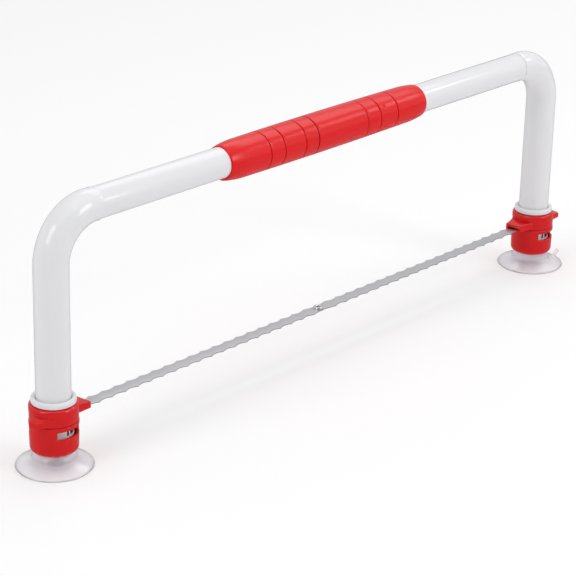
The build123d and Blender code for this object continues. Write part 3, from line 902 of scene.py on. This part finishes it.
for side, place, azimuth in (("left", -half_spacing, 5), ("right", half_spacing, -9)):
    sleeve = slotted_sleeve()
    turn = Matrix.Rotation(radians(azimuth), 3, "Z")
    bmesh.ops.rotate(sleeve, verts=sleeve.verts, cent=(0, 0, 0), matrix=turn)
    bmesh.ops.translate(sleeve, verts=sleeve.verts, vec=(place, 0, 0))
    piece = hand_over(sleeve, side + "_white_sleeve", "carriage", side + "_collet", "white_collet")
    # The second slot is the painted shade of the slit floors.
    piece.data.materials.append(slit_shade)

# %% [markdown]
# The clamp cup is the red piece that a hand turns. It narrows a little downwards and ends in a wide
# round. Its two windows show how far the sleeve is closed. Their rims are softened after the cut,
# because a moulded window is never knife-sharp.

# %% Clamp cups
window_start, window_sweep = -124, 93
window_low, window_high = 16.5, 20.1
window_corner = 0.5


def is_window_rim(edge):
    """True for the outer edges of a window."""
    middle = (edge.verts[0].co + edge.verts[1].co) / 2
    on_skin = Vector((middle.x, middle.y, 0)).length > 10.5
    beside_window = window_low - 0.2 < middle.z < window_high + 0.2
    return on_skin and beside_window and edge.calc_face_angle(0) > radians(50)


def clamp_cup():
    """The red cup with two windows."""
    cup = turned_piece(
        [
            (7.9, 8.0, 0.15),
            (10.5, 8.0, 1.9),
            (10.72, 16.0, 0),
            (10.84, 20.6, 0),
            (10.9, 22.1, 0.4),
            (9.5, 22.1, 0.1),
            (9.5, 20.6, 0),
            (9.5, 16.0, 0),
            (9.5, 12.8, 0),
            (7.9, 10.6, 0),
        ],
        steps=120,
    )
    cuts = []
    for start in (window_start, window_start + 180):
        window = ring_sector(8.2, 12.0, window_low, window_high, start, window_sweep, window_corner)
        cuts.append(("DIFFERENCE", window))
    cup = joined(cup, cuts)
    rim = [edge for edge in cup.edges if is_window_rim(edge)]
    round_edges(cup, rim, 0.28)
    return cup


for side, place in (("left", -half_spacing), ("right", half_spacing)):
    cup = clamp_cup()
    bmesh.ops.translate(cup, verts=cup.verts, vec=(place, 0, 0))
    hand_over(cup, side + "_window_cup", side + "_lock", side + "_clamp_cup", "red_collar")

# %% [markdown]
# A wing is drawn in plan: two flanks that leave the ring, flared or straight, and meet a blunt tip.
# The face is pulled up to the height of its root, a sloping plane trims its top towards the tip, and
# all its edges are rounded as a mould rounds them.

# %% Wings
ring_radius = 10.8
wing_bottom = 22.7
wing_height = 4.0
flank_sag_share = 0.17


def wing(reach, half_width, tip_height, root_angles, slant=0.0, bulge=0.0):
    """One wing towards +X. The root angles say where round the ring its -Y and +Y flanks start."""
    near_turn, far_turn = [radians(angle) for angle in root_angles]
    near_root = (ring_radius * cos(near_turn), -ring_radius * sin(near_turn))
    far_root = (ring_radius * cos(far_turn), ring_radius * sin(far_turn))
    near_sag = flank_sag_share * (-near_root[1] - half_width)
    far_sag = flank_sag_share * (far_root[1] - half_width)
    near_middle = ((near_root[0] + reach) / 2, (near_root[1] - half_width) / 2 + near_sag)
    far_middle = ((far_root[0] + reach) / 2, (far_root[1] + half_width) / 2 - far_sag)
    near_tip, far_tip = (reach + slant / 2, -half_width), (reach - slant / 2, half_width)
    plan = arc(near_root, near_middle, near_tip, 8)
    if bulge:
        plan += arc(near_tip, (reach + bulge, 0), far_tip, 8)[1:-1]
    plan += arc(far_tip, far_middle, far_root, 8)
    plan += [(9.6 * cos(turn), 9.6 * sin(turn)) for turn in (far_turn, 0, -near_turn)]
    shape = bmesh.new()
    face = shape.faces.new([shape.verts.new((x, y, wing_bottom)) for x, y in plan])
    raised = bmesh.ops.extrude_face_region(shape, geom=[face])["geom"]
    top = [item for item in raised if isinstance(item, bmesh.types.BMVert)]
    bmesh.ops.translate(shape, verts=top, vec=(0, 0, wing_height))
    fall = wing_height - tip_height
    bmesh.ops.bisect_plane(
        shape,
        geom=shape.verts[:] + shape.edges[:] + shape.faces[:],
        dist=0.0001,
        plane_co=(ring_radius, 0, wing_bottom + wing_height),
        plane_no=(fall, 0, reach - ring_radius),
        clear_outer=True,
    )
    bmesh.ops.holes_fill(shape, edges=[edge for edge in shape.edges if edge.is_boundary])
    bmesh.ops.recalc_face_normals(shape, faces=shape.faces)
    rim = [edge for edge in shape.edges if edge.calc_face_angle(0) > radians(40)]
    round_edges(shape, rim, 0.3)
    return shape


# %% [markdown]
# The ring has a wide round on top, where a bright line runs. Its inner wing is slotted for the blade.
# The outer wings differ in the picture: the near one is short and turned forward, and the far one is
# broad with a curved tip.

# %% Wing rings
def wing_ring(inner_root_angles, outer, outer_azimuth):
    """The ring with its slotted inner wing towards +X and another wing on its outer side."""
    ring = turned_piece(
        [
            (8.5, 22.3, 0.1),
            (10.68, 22.3, 0.25),
            (10.68, 26.68, 0),
            (10.8, 26.72, 0),
            (10.8, 30.1, 1.3),
            (8.5, 30.1, 0.2),
        ],
        steps=120,
    )
    turn = Matrix.Rotation(radians(outer_azimuth), 3, "Z")
    bmesh.ops.rotate(outer, verts=outer.verts, cent=(0, 0, 0), matrix=turn)
    slot_length, slot_width, slot_height = 8, 6.0, 1.3
    slot_start, slot_floor = 11.7, 23.15
    slot = bmesh.new()
    bmesh.ops.create_cube(slot, size=1)
    bmesh.ops.scale(slot, verts=slot.verts, vec=(slot_length, slot_width, slot_height))
    slot_middle = (slot_start + slot_length / 2, 0, slot_floor + slot_height / 2)
    bmesh.ops.translate(slot, verts=slot.verts, vec=slot_middle)
    inner = wing(16.8, 4.3, 3.3, inner_root_angles, slant=1.3)
    return joined(ring, [("UNION", inner), ("UNION", outer), ("DIFFERENCE", slot)])


left_ring = wing_ring((25, 38), wing(14.1, 2.5, 2.75, (15, 38)), 191)
bmesh.ops.translate(left_ring, verts=left_ring.verts, vec=(-half_spacing, 0, 0))
hand_over(left_ring, "left_winged_ring", "carriage", "left_wing_ring", "red_collar")
right_ring = wing_ring((38, 38), wing(17.1, 4.4, 2.55, (29, 38), bulge=1.9), 180)
half_turn = Matrix.Rotation(pi, 3, "Z")
bmesh.ops.rotate(right_ring, verts=right_ring.verts, cent=(0, 0, 0), matrix=half_turn)
bmesh.ops.translate(right_ring, verts=right_ring.verts, vec=(half_spacing, 0, 0))
hand_over(right_ring, "right_winged_ring", "carriage", "right_wing_ring", "red_collar")

# %% [markdown]
# ## The blade
# The blade is a thin strip whose two edges are ground into scallops, one long one in the middle and
# 18 on each side. One short edge is pulled along the strip from station to station, and its two ends
# follow the scallops. Then the strip gets the thickness that the ground edge keeps, and the middle
# of its top is set in and raised, which leaves a slanting ground face all round.

# %% Blade
blade_bottom = 23.2
blade_thickness = 0.5
edge_thickness = 0.45
ground_width = 0.55
blade_tip = 156.0
tooth_pitch = 7.62
tooth_half_width = 3.75
gullet_half_width = 2.55
end_half_width = 2.6
teeth = [7.9 + step * tooth_pitch for step in range(19)]
teeth = [-tooth for tooth in reversed(teeth)] + teeth
run_out = teeth[0] - tooth_pitch / 2
lead = arc((run_out, end_half_width), (run_out + 1.905, 2.869), (teeth[0], tooth_half_width), 5)
edge_line = [(-blade_tip, end_half_width)] + lead
for first, second in zip(teeth, teeth[1:]):
    gullet = ((first + second) / 2, gullet_half_width)
    edge_line += arc((first, tooth_half_width), gullet, (second, tooth_half_width), 8)[1:]
edge_line += [(-x, y) for x, y in reversed(lead[:-1])] + [(blade_tip, end_half_width)]
strip = bmesh.new()
x, y = edge_line[0]
rung = strip.edges.new((strip.verts.new((x, -y, 0)), strip.verts.new((x, y, 0))))
for x, y in edge_line[1:]:
    grown = bmesh.ops.extrude_edge_only(strip, edges=[rung])["geom"]
    ends = [item for item in grown if isinstance(item, bmesh.types.BMVert)]
    for end in ends:
        end.co = Vector((x, y if end.co.y > 0 else -y, 0))
    sides = [item for item in grown if isinstance(item, bmesh.types.BMEdge)]
    rung = next(side for side in sides if set(side.verts) == set(ends))
bmesh.ops.recalc_face_normals(strip, faces=strip.faces)
raised = bmesh.ops.extrude_face_region(strip, geom=strip.faces[:])["geom"]
top = [item for item in raised if isinstance(item, bmesh.types.BMVert)]
bmesh.ops.translate(strip, verts=top, vec=(0, 0, edge_thickness))
top_faces = [item for item in raised if isinstance(item, bmesh.types.BMFace)]
bmesh.ops.inset_region(strip, faces=top_faces, thickness=ground_width, use_even_offset=False)
inner = {vert for face in top_faces for vert in face.verts}
bmesh.ops.translate(strip, verts=list(inner), vec=(0, 0, blade_thickness - edge_thickness))
bmesh.ops.recalc_face_normals(strip, faces=strip.faces)
bmesh.ops.translate(strip, verts=strip.verts, vec=(0, 0, blade_bottom))
rivet_place = -0.8
rivet_hole_radius = 1.55
pin_place = 154.3
pin_hole_radius = 0.9
holes = []
for place, radius in (
    (rivet_place, rivet_hole_radius),
    (-pin_place, pin_hole_radius),
    (pin_place, pin_hole_radius),
):
    hole = bmesh.new()
    bmesh.ops.create_cone(hole, cap_ends=True, segments=32, radius1=radius, radius2=radius, depth=3)
    bmesh.ops.translate(hole, verts=hole.verts, vec=(place, 0, blade_bottom))
    holes.append(("DIFFERENCE", hole))
strip = joined(strip, holes)
hand_over(strip, "scalloped_blade", "carriage", "blade", "blade_steel", sharp_angle=20)

# %% [markdown]
# ## The rivet
# A hollow rivet sits near the middle of the blade, with a tall rolled flange on top.

# %% Rivet
eyelet = turned_piece(
    [
        (1.1, 22.7, 0.2),
        (2.2, 22.7, 0.22),
        (2.2, 23.2, 0),
        (1.5, 23.2, 0),
        (1.5, 23.7, 0),
        (2.4, 23.7, 0.15),
        (2.4, 24.7, 0.45),
        (1.1, 24.7, 0.5),
    ],
    steps=48,
)
bmesh.ops.translate(eyelet, verts=eyelet.verts, vec=(rivet_place, 0, 0))
hand_over(eyelet, "blade_rivet", "carriage", "blade_eyelet", "rivet_metal")
